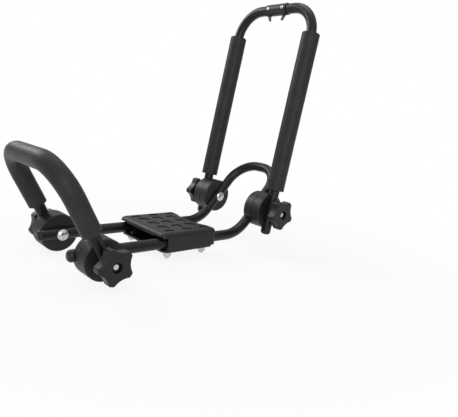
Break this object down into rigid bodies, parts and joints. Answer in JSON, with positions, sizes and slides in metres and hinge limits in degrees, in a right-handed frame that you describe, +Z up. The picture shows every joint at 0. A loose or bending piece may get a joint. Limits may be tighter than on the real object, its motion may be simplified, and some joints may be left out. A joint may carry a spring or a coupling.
{
  "type": "j style kayak carrier",
  "caption": "Folding J shaped roof rack carrier: tube base with a clamp saddle, a short padded loop and a tall padded loop on toothed hinges with star knobs.",
  "frame": {"origin": "middle of the crossbar seat, the flat ceiling inside the saddle", "axes": "+X along the crossbar from the short arm to the tall arm, +Y towards the far side, +Z up"},
  "size_m": [0.506, 0.262, 0.4793],
  "materials": {
    "tube_black": "satin black powder coat",
    "foam_black": "matte closed cell foam",
    "plastic_black": "fine grained moulded plastic",
    "plate_black": "satin black paint",
    "zinc_steel": "bright zinc plate"
  },
  "bodies": {
    "base": {"base_tube": "tube_black", "saddle_cover": "plastic_black", "clamp_plate": "plate_black", "saddle_bolts": "zinc_steel", "saddle_washers": "zinc_steel", "saddle_nuts": "zinc_steel", "base_end_cap_far": "plastic_black", "base_end_cap_near": "plastic_black", "front_inner_disc_far": "plastic_black", "front_inner_disc_near": "plastic_black", "front_hinge_bolt_far": "zinc_steel", "front_hinge_bolt_near": "zinc_steel", "tall_inner_disc_far": "plastic_black", "tall_inner_disc_near": "plastic_black", "tall_hinge_bolt_far": "zinc_steel", "tall_hinge_bolt_near": "zinc_steel"},
    "short_arm": {"short_arm_tube": "tube_black", "short_arm_foam": "foam_black", "short_arm_end_cap_far": "plastic_black", "short_arm_end_cap_near": "plastic_black", "front_outer_disc_far": "plastic_black", "front_outer_disc_near": "plastic_black"},
    "tall_arm": {"tall_arm_tube": "tube_black", "strap_hook": "plate_black", "hook_rivets": "zinc_steel", "tall_arm_foam_far": "foam_black", "tall_arm_foam_near": "foam_black", "tall_arm_end_cap_far": "plastic_black", "tall_arm_end_cap_near": "plastic_black", "tall_outer_disc_far": "plastic_black", "tall_outer_disc_near": "plastic_black"},
    "front_knob_far": {"front_star_knob_far": "plastic_black", "front_knob_insert_far": "zinc_steel", "front_knob_washer_far": "zinc_steel"},
    "front_knob_near": {"front_star_knob_near": "plastic_black", "front_knob_insert_near": "zinc_steel", "front_knob_washer_near": "zinc_steel"},
    "tall_knob_far": {"tall_star_knob_far": "plastic_black", "tall_knob_insert_far": "zinc_steel", "tall_knob_washer_far": "zinc_steel"},
    "tall_knob_near": {"tall_star_knob_near": "plastic_black", "tall_knob_insert_near": "zinc_steel", "tall_knob_washer_near": "zinc_steel"}
  },
  "joints": [
    {"name": "short_arm_fold", "type": "hinge", "parent": "base", "child": "short_arm", "pos_m": [-0.175, 0, -0.011], "axis": [0, -1, 0], "range_deg": [-104, 50]},
    {"name": "tall_arm_fold", "type": "hinge", "parent": "base", "child": "tall_arm", "pos_m": [0.1693, 0, 0.0382], "axis": [0, -1, 0], "range_deg": [-84, 91]},
    {"name": "front_knob_far_turn", "type": "hinge", "parent": "base", "child": "front_knob_far", "pos_m": [-0.175, 0.12, -0.011], "axis": [0, 1, 0], "range_deg": [0, 540]},
    {"name": "front_knob_near_turn", "type": "hinge", "parent": "base", "child": "front_knob_near", "pos_m": [-0.175, -0.12, -0.011], "axis": [0, -1, 0], "range_deg": [0, 540]},
    {"name": "tall_knob_far_turn", "type": "hinge", "parent": "base", "child": "tall_knob_far", "pos_m": [0.1693, 0.12, 0.0382], "axis": [0, 1, 0], "range_deg": [0, 540]},
    {"name": "tall_knob_near_turn", "type": "hinge", "parent": "base", "child": "tall_knob_near", "pos_m": [0.1693, -0.12, 0.0382], "axis": [0, -1, 0], "range_deg": [0, 540]}
  ]
}
